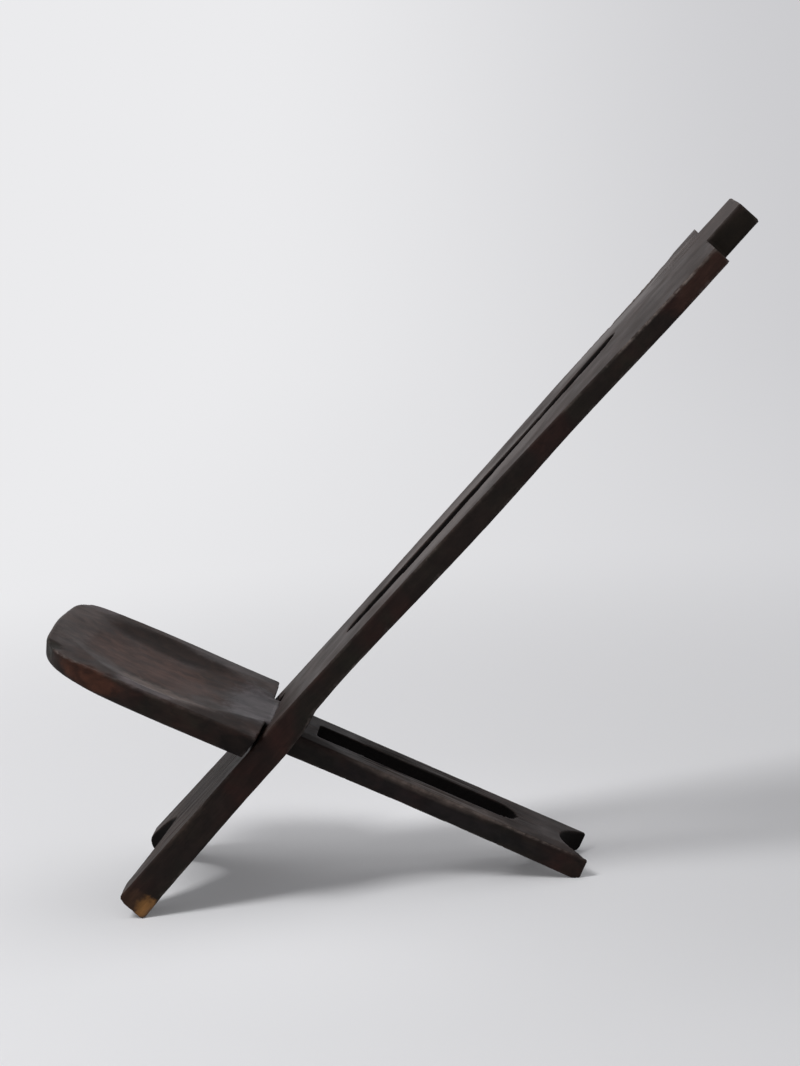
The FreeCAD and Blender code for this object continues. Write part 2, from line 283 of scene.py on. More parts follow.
class ChairStage(bpy.types.PropertyGroup):
    """The floor, the lights and the camera."""

    # The paper is painted lighter on the key's side and darker on the other side, as light and
    # shade
    floor: StringProperty(
        name="Paper", description="Colour of the paper by the chair", default="#e4e4e6"
    )
    floor_right: StringProperty(
        name="Paper, other side", description="Away from the key", default="#d4d4d6"
    )
    far_left: StringProperty(
        name="Far paper, lit side", description="Seen far off", default="#ebebed"
    )
    far_right: StringProperty(
        name="Far paper, other side", description="Seen far off", default="#cbcbce"
    )
    key: FloatProperty(
        name="Key light", description="Power of the soft key light in W", default=80.0
    )
    key_place: FloatVectorProperty(
        name="Key place", description="Where the key light hangs",
        default=(1.15, -1.75, 3.3), unit="LENGTH",
    )
    key_aim: FloatVectorProperty(
        name="Key aim", description="What the key light points at",
        default=(0, 0, 0.2), unit="LENGTH",
    )
    key_width: FloatProperty(
        name="Key width", description="Side of the key light", default=1.1, unit="LENGTH"
    )
    overhead: FloatProperty(
        name="Overhead light", description="Power of the wide light overhead in W", default=34.0
    )
    overhead_place: FloatVectorProperty(
        name="Overhead place", description="Where the wide light hangs",
        default=(-0.6, 0, 3.6), unit="LENGTH",
    )
    overhead_width: FloatProperty(
        name="Overhead width", description="Side of the overhead light",
        default=3.0, unit="LENGTH",
    )
    room: StringProperty(
        name="Room colour", description="Colour of the room's own light", default="#fbfbfd"
    )
    world: FloatProperty(
        name="Room", description="Strength of the room's own light", default=0.31
    )
    world_seen: FloatProperty(
        name="Room as seen", description="Brightness of the room past the paper", default=0.83
    )
    eye: FloatVectorProperty(
        name="Camera", description="Place of the camera",
        default=(2.57345, 0.16107, 0.83147), unit="LENGTH",
    )
    azimuth: FloatProperty(
        name="Azimuth", description="Camera's bearing in degrees", default=93.68
    )
    elevation: FloatProperty(
        name="Elevation", description="Camera's height angle in degrees", default=10.11
    )
    roll: FloatProperty(name="Roll", description="Camera's tilt in degrees", default=-3.90)
    lens: FloatProperty(
        name="Lens", description="Focal length in mm for a long side of 36 mm", default=83.9
    )


def add(tree, kind, inputs, **settings):
    """Adds a node, sets its properties, and fills its inputs with values or other outputs."""
    node = tree.nodes.new(kind)
    for name, value in settings.items():
        setattr(node, name, value)
    for socket, value in inputs.items():
        if isinstance(value, bpy.types.NodeSocket):
            tree.links.new(value, node.inputs[socket])
        else:
            node.inputs[socket].default_value = value
    return node


def new_material(name):
    """An empty material and its node tree."""
    material = bpy.data.materials.new(name)
    material.use_nodes = True
    material.node_tree.nodes.clear()
    return material, material.node_tree


def lying_flat(tree, flat):
    """Object coordinates turned as the plank is when it lies flat, in millimetres."""
    turned = {
        "Vector": add(tree, "ShaderNodeTexCoord", {}).outputs["Object"],
        "Location": flat.to_translation(),
        "Rotation": flat.to_3x3().normalized().to_euler(),
        "Scale": (1 / MM, 1 / MM, 1 / MM),
    }
    return add(tree, "ShaderNodeMapping", turned).outputs[0]


def near(tree, place, centre, reach, rough=0.0, ragged=None):
    """1 at a point of the flat plank, falling to 0 at its reach (across, along, deep) in mm.

    The pattern ragged makes its outline uneven, by as much as rough says."""
    size = tuple(1 / r for r in reach)
    shift = tuple(-c / r for c, r in zip(centre, reach))
    moved = add(tree, "ShaderNodeMapping", {"Vector": place, "Location": shift, "Scale": size})
    length = add(
        tree, "ShaderNodeVectorMath", {0: moved.outputs[0]}, operation="LENGTH"
    ).outputs["Value"]
    if ragged is not None:
        bend = add(tree, "ShaderNodeMath", {0: ragged, 1: 0.5}, operation="SUBTRACT").outputs[0]
        length = add(
            tree, "ShaderNodeMath", {0: bend, 1: rough, 2: length}, operation="MULTIPLY_ADD"
        ).outputs[0]
    fall = {
        "Value": length, "From Min": FULL_REACH, "From Max": 1.0, "To Min": 1.0, "To Max": 0.0,
    }
    return add(tree, "ShaderNodeMapRange", fall, interpolation_type="SMOOTHSTEP").outputs[0]


def layered(tree, ground, layers):
    """Lays colours over a ground one after another, each as far as its share reaches."""
    for share, colour in layers:
        ground = add(
            tree, "ShaderNodeMix", {FACTOR: share, COLOUR_A: ground, COLOUR_B: colour},
            data_type="RGBA",
        ).outputs[COLOUR_OUT]
    return ground


def streaks(tree, place, size, detail, distortion=0.0):
    """A pattern from 0 to 1 drawn out along the grain, with a width and a length in mm."""
    across, along = size
    drawn_out = (1 / across, 1 / along, 1 / across)
    drawn = add(tree, "ShaderNodeMapping", {"Vector": place, "Scale": drawn_out}).outputs[0]
    return add(
        tree, "ShaderNodeTexNoise",
        {"Vector": drawn, "Scale": 1.0, "Detail": detail, "Distortion": distortion},
    ).outputs["Fac"]


def clouded_stain(tree, wood, cloud, small_cloud):
    """The stain's colour: red and green-grey clouds, and a lighter colour in clouds on the upward
    show faces: partly the stain rubbed thinner where hands and seat go, partly painted light
    that these faces catch.
    """
    red = add(
        tree, "ShaderNodeMapRange", {"Value": cloud, "From Min": 0.45, "From Max": 0.68}
    ).outputs[0]
    green = add(
        tree, "ShaderNodeMapRange", {"Value": small_cloud, "From Min": 0.45, "From Max": 0.7}
    ).outputs[0]
    show = add(tree, "ShaderNodeAttribute", {}, attribute_name="show_face").outputs["Fac"]
    clouded_share = add(
        tree, "ShaderNodeMapRange",
        {"Value": cloud, "From Min": 0.3, "From Max": 0.7, "To Min": 0.4, "To Max": 0.9},
    ).outputs[0]
    show = add(tree, "ShaderNodeMath", {0: show, 1: clouded_share}, operation="MULTIPLY").outputs[0]
    return layered(tree, linear(wood.stain), (
        (red, linear(wood.red_stain)),
        (green, linear(wood.green_stain)),
        (show, linear(wood.handled_and_lit)),
    ))


def spots_of_wear_and_light(tree, place, scuff, spots, colour, gloss):
    """The colour and the polish with every spot laid over to its own: some worn or broken
    through, some painted as light and shade.
    """
    for centre, reach, rough, hex_colour, share, dullness in spots:
        mask = near(tree, place, centre, reach, rough, scuff)
        mask = add(tree, "ShaderNodeMath", {0: mask, 1: share}, operation="MULTIPLY").outputs[0]
        colour = layered(tree, colour, ((mask, linear(hex_colour)),))
        gloss = add(
            tree, "ShaderNodeMapRange", {"Value": mask, "To Min": gloss, "To Max": dullness}
        ).outputs[0]
    return colour, gloss


def figured(tree, place, fibre, figure, mottle):
    """How light the wood is, about 1: it varies along the fibres and bands and in blotches."""
    band = streaks(tree, place, BAND, detail=3.0, distortion=0.4)
    grain = add(tree, "ShaderNodeMath", {0: fibre, 1: band}, operation="ADD").outputs[0]
    shade = add(
        tree, "ShaderNodeMapRange",
        {"Value": grain, "From Min": 0.7, "From Max": 1.3, "To Min": 1 - figure,
         "To Max": 1 + figure},
    ).outputs[0]
    blotch = streaks(tree, place, BLOTCH, detail=2.0, distortion=0.5)
    patch = add(
        tree, "ShaderNodeMapRange",
        {"Value": blotch, "From Min": 0.35, "From Max": 0.65, "To Min": 1 - mottle,
         "To Max": 1 + mottle},
    ).outputs[0]
    return add(tree, "ShaderNodeMath", {0: shade, 1: patch}, operation="MULTIPLY").outputs[0]


def opened_grain(tree, place, scuff, open_grain):
    """1 in the dark lines of the weathered places, 0 elsewhere."""
    line = streaks(tree, place, OPEN_LINE, detail=2.0)
    groove = add(
        tree, "ShaderNodeMapRange",
        {"Value": line, "From Min": 0.4, "From Max": 0.52, "To Min": 1.0, "To Max": 0.0},
    ).outputs[0]
    weathered = 0.0
    for centre, reach in open_grain:
        spread = near(tree, place, centre, reach, WEATHER_ROUGH, scuff)
        weathered = add(
            tree, "ShaderNodeMath", {0: spread, 1: weathered}, operation="MAXIMUM"
        ).outputs[0]
    return add(tree, "ShaderNodeMath", {0: groove, 1: weathered}, operation="MULTIPLY").outputs[0]


def pale_arris_and_glint(tree, place, scuff, small_cloud, rubs_and_glints):
    """How pale the arrises are: worn pale in short scuffs, over some stretches, and all along
    the rubs, one of which is a painted glint.
    """
    worn = add(tree, "ShaderNodeAttribute", {}, attribute_name="arris_wear").outputs["Fac"]
    broken = add(
        tree, "ShaderNodeMapRange",
        {"Value": scuff, "From Min": 0.42, "From Max": 0.62, "To Min": 0.15, "To Max": 0.8},
    ).outputs[0]
    worn = add(tree, "ShaderNodeMath", {0: worn, 1: broken}, operation="MULTIPLY").outputs[0]
    stretch = add(
        tree, "ShaderNodeMapRange",
        {"Value": small_cloud, "From Min": 0.48, "From Max": 0.68, "To Max": 0.7},
    ).outputs[0]
    for centre, reach in rubs_and_glints:
        rub = near(tree, place, centre, reach)
        stretch = add(tree, "ShaderNodeMath", {0: rub, 1: stretch}, operation="MAXIMUM").outputs[0]
    return add(tree, "ShaderNodeMath", {0: worn, 1: stretch}, operation="MULTIPLY").outputs[0]


def stained_hardwood(name, flat, wood, polish, figure, mottle, spots, rubs_and_glints, open_grain):
    """Close-grained hardwood, stained near black and waxed: a soft grey sheen on a nearly black
    ground, red and green-grey clouds in the stain, fine long grain, pale rubbed arrises, and
    light and shade painted into the colour in places.

    polish is its roughness in the brightest and the dullest clouds, and figure and mottle say how
    far the grain and the blotches lighten and darken it. spots are worn or broken through, or
    painted as light and shade; the stretches of pale arris are worn, one of them a painted
    glint; and open_grain is weathered."""
    material, tree = new_material(name)
    place = lying_flat(tree, flat)
    fibre = streaks(tree, place, FIBRE, detail=3.0)
    cloud = add(
        tree, "ShaderNodeTexNoise",
        {"Vector": place, "Scale": 1 / CLOUD, "Detail": 2.5, "Roughness": 0.55},
    ).outputs["Fac"]
    aside = add(tree, "ShaderNodeMapping", {"Vector": place, "Location": ASIDE}).outputs[0]
    small_cloud = add(
        tree, "ShaderNodeTexNoise", {"Vector": aside, "Scale": 1 / SMALL_CLOUD, "Detail": 3.0}
    ).outputs["Fac"]
    scuff = add(
        tree, "ShaderNodeTexNoise",
        {"Vector": place, "Scale": 1 / SCUFF, "Detail": 5.0, "Roughness": 0.6},
    ).outputs["Fac"]

    colour = clouded_stain(tree, wood, cloud, small_cloud)
    gloss = add(
        tree, "ShaderNodeMapRange",
        {"Value": small_cloud, "From Min": 0.3, "From Max": 0.7, "To Min": polish[0],
         "To Max": polish[1]},
    ).outputs[0]
    colour, gloss = spots_of_wear_and_light(tree, place, scuff, spots, colour, gloss)

    # Grain, blotches and opened lines shade the colour, and dust dulls the lines
    shade = figured(tree, place, fibre, figure, mottle)
    groove = opened_grain(tree, place, scuff, open_grain)
    shade = add(
        tree, "ShaderNodeMath", {0: groove, 1: -LINE_SHADE, 2: shade}, operation="MULTIPLY_ADD"
    ).outputs[0]
    gloss = add(
        tree, "ShaderNodeMapRange", {"Value": groove, "To Min": gloss, "To Max": DUSTY_GRAIN}
    ).outputs[0]
    colour = add(
        tree, "ShaderNodeVectorMath", {0: colour, "Scale": shade}, operation="SCALE"
    ).outputs[0]

    # The arrises are rubbed pale, and one glint on the seat's front arris is painted; the slots
    # and notches are painted darker as shade, and dull old wax makes them rough
    worn = pale_arris_and_glint(tree, place, scuff, small_cloud, rubs_and_glints)
    sunk = add(tree, "ShaderNodeAttribute", {}, attribute_name="recess_shade").outputs["Fac"]
    colour = layered(tree, colour, ((worn, linear(wood.arris)), (sunk, linear(wood.recess_shade))))
    gloss = add(
        tree, "ShaderNodeMapRange", {"Value": sunk, "To Min": gloss, "To Max": OLD_WAX}
    ).outputs[0]

    relief = add(
        tree, "ShaderNodeMath", {0: fibre, 1: FIBRE_RELIEF, 2: scuff}, operation="MULTIPLY_ADD"
    ).outputs[0]
    relief = add(
        tree, "ShaderNodeMath", {0: groove, 1: -LINE_RELIEF, 2: relief}, operation="MULTIPLY_ADD"
    ).outputs[0]
    bump = add(
        tree, "ShaderNodeBump",
        {"Height": relief, "Strength": RELIEF_STRENGTH, "Distance": RELIEF_DEPTH},
    ).outputs[0]
    surface = add(
        tree, "ShaderNodeBsdfPrincipled",
        {"Base Color": colour, "Roughness": gloss, "Normal": bump,
         "Specular IOR Level": WAX_SHINE},
    )
    add(tree, "ShaderNodeOutputMaterial", {"Surface": surface.outputs[0]})
    return material


def arris_points(solid):
    """Points along the solid's arrises, for looking up the nearest."""
    found = []
    for edge in solid.edges:
        if edge.calc_face_angle(0) > ARRIS_TURN:
            start, end = (vert.co for vert in edge.verts)
            steps = math.ceil(edge.calc_length() / ARRIS_SPACING)
            found += [start.lerp(end, step / steps) for step in range(steps + 1)]
    points = KDTree(len(found))
    for number, co in enumerate(found):
        points.insert(co, number)
    points.balance()
    return points


def rub_smooth(shape, verts, rounds=1):
    """Evens out vertices with their neighbours."""
    for _ in range(rounds):
        bmesh.ops.smooth_vert(
            shape, verts=verts, factor=0.5, use_axis_x=True, use_axis_y=True, use_axis_z=True
        )


def wrapped(solid, name, grid):
    """A new piece: an even mesh of small faces round a solid."""
    mesh = bpy.data.meshes.new(name)
    solid.to_mesh(mesh)
    piece = bpy.data.objects.new(name, mesh)
    bpy.context.collection.objects.link(piece)
    remesh = piece.modifiers.new("Even mesh", "REMESH")
    remesh.mode = "VOXEL"
    remesh.voxel_size = grid
    graph = bpy.context.evaluated_depsgraph_get()
    even = bpy.data.meshes.new_from_object(piece.evaluated_get(graph))
    piece.modifiers.clear()
    piece.data = even
    bpy.data.meshes.remove(mesh)
    even.name = name
    return piece


def even_mesh(node, name, flat, grid, soft=None):
    """A CAD solid as a new piece that lies flat in mm: an even mesh pressed onto its own faces.

    Its arrises are kept, and the places that soft names are rubbed smooth."""
    solid = bmesh.new()
    solid.from_mesh(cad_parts[node].data)
    bmesh.ops.remove_doubles(solid, verts=solid.verts, dist=0.01 * MM)
    bmesh.ops.transform(solid, matrix=flat, verts=solid.verts)
    piece = wrapped(solid, name, grid)
    shape = bmesh.new()
    shape.from_mesh(piece.data)
    skin = BVHTree.FromBMesh(solid)
    for _ in range(SETTLE_ROUNDS):
        rub_smooth(shape, shape.verts)
        for vert in shape.verts:
            vert.co = skin.find_nearest(vert.co)[0]
    arrises = arris_points(solid)
    for vert in shape.verts:
        co, _, distance = arrises.find(vert.co)
        if distance < ARRIS_PULL * grid:
            vert.co = co
    if soft:
        shape.normal_update()
        rub_smooth(shape, [vert for vert in shape.verts if soft(vert)], HOLLOW_ROUNDS)
    shape.to_mesh(piece.data)
    shape.free()
    solid.free()
    return piece


def triples(items, field):
    """A field of three numbers for each item, such as its place, as an array."""
    row = np.zeros(len(items) * 3, np.float32)
    items.foreach_get(field, row)
    return row.reshape(-1, 3)


def bulge(mesh, place, normal):
    """How far each vertex stands proud of its surroundings, in mm: positive along arrises."""
    pairs = np.zeros(len(mesh.edges) * 2, np.int64)
    mesh.edges.foreach_get("vertices", pairs)
    pairs = pairs.reshape(-1, 2)
    count = np.bincount(pairs.ravel(), minlength=len(place))[:, None]
    smooth = place.astype(np.float64)
    for _ in range(PROUD_ROUNDS):
        total = np.zeros_like(smooth)
        for axis in range(3):
            total[:, axis] = np.bincount(pairs[:, 0], smooth[pairs[:, 1], axis], len(place))
            total[:, axis] += np.bincount(pairs[:, 1], smooth[pairs[:, 0], axis], len(place))
        smooth = (smooth + total / count) / 2
    return ((place - smooth) * normal).sum(1)


def wave(spot, size):
    """Smooth noise from 0 to 1 at a place, in waves of a width and a length in mm."""
    across, along = size
    return 0.5 + 0.5 * noise.noise(Vector((spot.x / across, spot.y / along, spot.z / across)))


def hollows(place, depth, still):
    """How deep the hand-worked hollows are at each place: nothing where still says 0."""
    spots = [Vector(co) for co in place]
    sunk = np.zeros(len(place))
    for i, spot in enumerate(spots):
        both = LONG_SHARE * wave(spot, LONG_WAVE) + (1 - LONG_SHARE) * wave(spot, SHORT_WAVE)
        sunk[i] = depth * both * still(spot)
    return sunk


def ripple(place, size):
    """Smooth noise from -1 to 1 at each place, in waves of a size in mm."""
    return np.array([noise.noise(Vector(co) / size) for co in place])


def facet(place, normal, point, down, reach, slope):
    """How deep a facet cuts at each place: it falls away from a point, down one way."""
    offset = place[:, :2] - np.array(point)[:2]
    within = np.clip(FACET_FADE - (offset ** 2).sum(1) / reach ** 2, 0, 1)
    above = place[:, 2] + slope * (offset @ np.array(down))
    return np.where(normal[:, 2] > FACET_LEVEL, np.clip(above, 0, FACET_MOST) * within, 0)


def keep_share(mesh, name, share):
    """Stores a share from 0 to 1 for each vertex, for the material to read."""
    kept = mesh.attributes.new(name, "FLOAT", "POINT")
    kept.data.foreach_set("value", share.astype(np.float32))


def hand_work(piece, wood, chips, facets, still, inner):
    """Sinks the hand-worked hollows and facets, rubs the arrises and breaks the chips, always
    into the wood.

    still gives, for a place, the share of the unevenness kept: none where the planks meet.
    inner tells, for a place, whether a wall there is inside a slot or notch."""
    mesh = piece.data
    place = triples(mesh.vertices, "co")
    normal = triples(mesh.vertex_normals, "vector")
    proud = bulge(mesh, place, normal)
    inside = np.array([inner(Vector(co)) for co in place])
    walls = inside * np.clip((WALL_LEVEL - np.abs(normal[:, 2])) / WALL_WIDTH, 0, 1)

    sink = hollows(place, wood.unevenness, still)
    rubbing = np.clip(RUB_LEVEL + RUB_SWING * ripple(place, RUB_WAVE), 0, 1)
    sink += np.clip(proud / PROUD_FULL, 0, 1) * rubbing * wood.raggedness * (1 - walls)
    for point, down, reach, slope in facets:
        sink += facet(place, normal, point, down, reach, slope)
    rough = 1 + CHIP_ROUGH * ripple(place, CHIP_WAVE)
    for centre, reach, depth in chips:
        offset = (place - np.array(centre)) / reach
        sink += depth * np.clip(1 - (offset ** 2).sum(1) * rough, 0, 1) ** CHIP_POWER
    moved = place - normal * sink[:, None]
    mesh.vertices.foreach_set("co", moved.astype(np.float32).ravel())
    mesh.update()

    # The walls of the slots and notches, which the material paints darker as shade
    keep_share(mesh, "recess_shade", walls)
    keep_share(mesh, "arris_wear", np.clip((proud - PALE_FROM) / PALE_WIDTH, 0, 1) * (1 - walls))
    # Upward show faces, which the material makes lighter: handling wear and painted light
    keep_share(mesh, "show_face", np.clip((normal[:, 2] - SHOW_LEVEL) / SHOW_WIDTH, 0, 1))


def stand_up(piece, flat, material, node, body):
    """Turns a finished plank to where it stands, over the floor, and joins it to its CAD body."""
    mesh = piece.data
    mesh.transform(flat.inverted())
    place = triples(mesh.vertices, "co")
    place[:, 2] = np.maximum(place[:, 2], 0)
    mesh.vertices.foreach_set("co", place.ravel())
    mesh.update()
    mesh.polygons.foreach_set("use_smooth", [True] * len(mesh.polygons))
    mesh.materials.clear()
    mesh.materials.append(material)
    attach(piece, body)
    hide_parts(node)


def eased(beyond):
    """0 up to the end of what stays true, rising to 1 beyond it."""
    return min(max(beyond / EASE_IN, 0), 1)


def back_still(spot):
    """None of the unevenness by the mortise, where the seat plank slides."""
    return eased(abs(spot.y - BACK_CROSSING - MORTISE_PAST) - MORTISE_REACH)


def seat_still(spot):
    """None of the unevenness along the tail and shoulders, which slide through the mortise."""
    return eased(SEAT_CROSSING - TONGUE_BEFORE - spot.y)


def seat_soft(vert):
    """True for the sat-on hollow and its rim."""
    x, y, _ = vert.co
    within = HOLLOW_FRONT < y < HOLLOW_REAR and abs(x) < HOLLOW_SIDE
    return within and vert.normal.z > HOLLOW_LEVEL


def back_inner(spot):
    """True for the walls of the mortise, the long slot and the foot notch."""
    return abs(spot.x) < BACK_INSIDE and spot.y < BACK_OPENINGS_END


def seat_inner(spot):
    """True for the walls of the tail's slot and notch."""
    return abs(spot.x) < TAIL_INSIDE and spot.y > TAIL_START


class CHAIR_OT_back_plank(bpy.types.Operator):
    """Carve and stain the long back plank"""

    bl_idname = "birthing_chair.back_plank"
    bl_label = "Back Plank"

    def execute(self, context):
        wood = context.scene.chair_wood
        # Faces dulled by hands and dust, the worn top, the near half of the front at the top
        # painted darker as shade, and last the broken corner of the near foot with its pale end
        # grain and a lighter spot painted as light on its facet: place, reach, raggedness, colour,
        # its share, roughness
        spots = (
            ((0, 100, 0), (130, 110, 12), 0.5, "#3d302a", 0.7, 0.6),
            ((0, 500, 0), (110, 130, 10), 0.5, "#3a2e29", 0.7, 0.42),
            ((-80, 790, 0), (60, 140, 10), 0.4, "#3a302c", 0.7, 0.38),
            ((20, 620, 0), (70, 90, 10), 0.5, "#3a302c", 0.6, 0.44),
            # Painted shade: the near half of the front at the top made darker, and duller
            ((92, 835, 0), (62, 90, 12), 0.6, wood.stain, 0.4, 0.58),
            ((-8, 932, 0), (110, 56, 26), 0.4, "#2e2522", 0.8, 0.62),
            ((-60, 860, 0), (70, 70, 12), 0.5, "#3d3330", 0.6, 0.44),
            ((62, 925, -20), (14, 60, 26), 0.4, "#17130d", 0.8, 0.75),
            ((157, 880, -12), (14, 60, 14), 0.5, "#33201a", 0.8, 0.6),
            ((110, 6, -18), (22, 21, 24), 0.7, "#3a281c", 0.7, 0.6),
            ((118, 13, -27), (12, 17, 12), 0.9, wood.bare, 0.9, 0.6),
            # Painted highlight: a lighter spot standing for light on the chip's facet
            ((123, 8, -27), (7, 10, 12), 0.9, "#a37b4d", 0.8, 0.6),
        )
        material = stained_hardwood(
            "Stained hardwood, dark", BACK_FLAT, wood, polish=(0.46, 0.64), figure=0.26,
            mottle=0.2, spots=spots,
            rubs_and_glints=(((142, 835, 0), (50, 90, 9)), ((-140, 800, 0), (60, 160, 9))),
            open_grain=(((0, 100, 0), (140, 130, 40)), ((-60, 880, 0), (70, 60, 14))),
        )
        piece = even_mesh("back_plank", "carved_back", BACK_FLAT, wood.back_grid)
        hand_work(piece, wood, BACK_CHIPS, BACK_FACETS, back_still, back_inner)
        stand_up(piece, BACK_FLAT, material, "back_plank", "back")
        return {"FINISHED"}


class CHAIR_OT_seat_plank(bpy.types.Operator):
    """Carve and stain the dished seat plank and its tail"""

    bl_idname = "birthing_chair.seat_plank"
    bl_label = "Seat Plank"

    def execute(self, context):
        wood = context.scene.chair_wood
        # The hollow is rubbed brown, the tail is dusty, and the front's near edge is worn to
        # orange-brown. Painted sheen lightens the hollow's near rim; painted shade darkens its
        # far wall, the near side beside the back plank and the front end's near corner; painted
        # shadow darkens the tail top behind the shoulders: place, reach, raggedness, colour, its
        # share, roughness
        spots = (
            ((0, 112, -6), (76, 98, 16), 0.6, wood.rubbed, 0.6, 0.56),
            # Painted shade: the hollow's far wall made darker
            ((-84, 118, -4), (30, 100, 12), 0.5, wood.stain, 0.8, 0.7),
            # Painted sheen: the hollow's near rim made lighter, here and in the next spot
            ((84, 132, -2), (34, 56, 12), 0.8, "#54463f", 0.6, 0.43),
            ((110, 120, 0), (18, 40, 9), 0.5, "#4a4142", 0.8, 0.42),
            ((5, 225, 0), (86, 52, 10), 0.7, "#433f42", 0.7, 0.42),
            ((80, 226, 0), (28, 36, 9), 0.8, wood.stain, 0.6, 0.75),
            ((-114, 30, 0), (24, 30, 9), 0.5, "#4a4142", 0.6, 0.42),
            ((-110, 190, 0), (22, 70, 9), 0.5, "#3d3737", 0.7, 0.46),
            ((44, 430, 0), (22, 110, 9), 0.5, "#4f4540", 0.8, 0.46),
            # Painted shadow: the tail top just behind the shoulders made darker and dull
            ((44, 300, 0), (20, 40, 9), 0.5, wood.stain, 0.6, 0.75),
            ((44, 585, 0), (24, 44, 9), 0.5, wood.stain, 0.5, 0.75),
            ((60, 440, -14), (20, 220, 16), 0.5, "#131113", 0.7, 0.7),
            # Painted shade: the near side beside the back plank made nearly black
            ((124, 238, -14), (14, 36, 18), 0.5, "#120e0c", 0.9, 0.8),
            ((-20, 24, 0), (105, 30, 9), 0.7, "#3c322f", 0.5, 0.46),
            ((112, 205, 0), (24, 44, 9), 0.5, wood.stain, 0.8, 0.7),
            ((122, 60, -12), (16, 46, 16), 0.5, "#41251a", 0.8, 0.55),
            # Painted shade: the front end at the near corner made darker
            ((96, 14, -5), (20, 14, 12), 0.6, "#15120d", 0.9, 0.6),
        )
        material = stained_hardwood(
            "Stained hardwood, sat smooth", SEAT_FLAT, wood, polish=(0.4, 0.62), figure=0.16,
            mottle=0.36, spots=spots,
            rubs_and_glints=(
                # Painted highlight: this first stretch is the glint on the front near arris
                ((112, 38, 0), (22, 26, 9)),
                ((49, 470, 0), (14, 170, 9)),
                ((-49, 400, 0), (14, 170, 9)),
            ),
            open_grain=(((0, 430, 0), (60, 150, 40)),),
        )
        piece = even_mesh("seat_plank", "carved_seat", SEAT_FLAT, wood.seat_grid, seat_soft)
        hand_work(piece, wood, SEAT_CHIPS, SEAT_FACETS, seat_still, seat_inner)
        stand_up(piece, SEAT_FLAT, material, "seat_plank", "seat")
        return {"FINISHED"}


class CHAIR_OT_stage(bpy.types.Operator):
    """Lay the paper sweep, hang the lights and place the camera"""

    bl_idname = "birthing_chair.stage"
    bl_label = "Stage"

    def execute(self, context):
        stage = context.scene.chair_stage
        sweep(stage)
        lights(context, stage)
        camera(context, stage)
        context.scene.view_settings.view_transform = "Standard"
        return {"FINISHED"}


def seen_light(tree):
    """1 for what the camera or a glossy or clear surface sees, 0 for light falling on things."""
    path = add(tree, "ShaderNodeLightPath", {}).outputs
    seen = add(
        tree, "ShaderNodeMath", {0: path["Is Camera Ray"], 1: path["Is Glossy Ray"]},
        operation="MAXIMUM",
    ).outputs[0]
    return add(
        tree, "ShaderNodeMath", {0: seen, 1: path["Is Transmission Ray"]}, operation="MAXIMUM"
    ).outputs[0]


def paper(stage):
    """Matt seamless paper: it keeps the chair's shadow close by, and far off it glows pale.

    Its colour is painted darker away from the key and lighter under the chair, and close by a
    little of the glow is painted light over the chair's shadow.
    """
    material, tree = new_material("Seamless paper")
    raw = add(tree, "ShaderNodeTexCoord", {}).outputs["Object"]
    along = add(tree, "ShaderNodeSeparateXYZ", {0: raw}).outputs["Y"]
    side = add(
        tree, "ShaderNodeMapRange",
        {"Value": along, "From Min": LIT_TO_DIM[0], "From Max": LIT_TO_DIM[1]},
        interpolation_type="SMOOTHSTEP",
    ).outputs[0]
    # Painted shade: the paper's colour darkens away from the key
    lit = layered(tree, linear(stage.floor), ((side, linear(stage.floor_right)),))
    distance = add(tree, "ShaderNodeVectorMath", {0: raw}, operation="LENGTH").outputs["Value"]
    # Painted light: a brighter pool of paper colour under the chair
    pool = add(
        tree, "ShaderNodeMapRange",
        {"Value": distance, "From Min": POOL[0], "From Max": POOL[1], "To Min": POOL_GAIN,
         "To Max": 1.0},
        interpolation_type="SMOOTHSTEP",
    ).outputs[0]
    lit = add(tree, "ShaderNodeVectorMath", {0: lit, "Scale": pool}, operation="SCALE").outputs[0]
    near_paper = add(
        tree, "ShaderNodeBsdfPrincipled",
        {"Base Color": lit, "Roughness": 0.9, "Specular IOR Level": 0.1},
    )
    # The far glow too is painted lighter on the key's side and darker on the other
    pale = layered(tree, linear(stage.far_left), ((side, linear(stage.far_right)),))
    far_paper = add(tree, "ShaderNodeEmission", {"Color": pale, "Strength": 1.0})
    far = add(
        tree, "ShaderNodeMapRange",
        {"Value": distance, "From Min": FAR[0], "From Max": FAR[1], "To Min": FAR_LEAST},
        interpolation_type="SMOOTHSTEP",
    ).outputs[0]
    # Close by, this least share of the glow is painted light over the chair's shadow
    share = add(
        tree, "ShaderNodeMath", {0: far, 1: seen_light(tree)}, operation="MULTIPLY"
    ).outputs[0]
    surface = add(
        tree, "ShaderNodeMixShader", {0: share, 1: near_paper.outputs[0], 2: far_paper.outputs[0]}
    )
    add(tree, "ShaderNodeOutputMaterial", {"Surface": surface.outputs[0]})
    return material


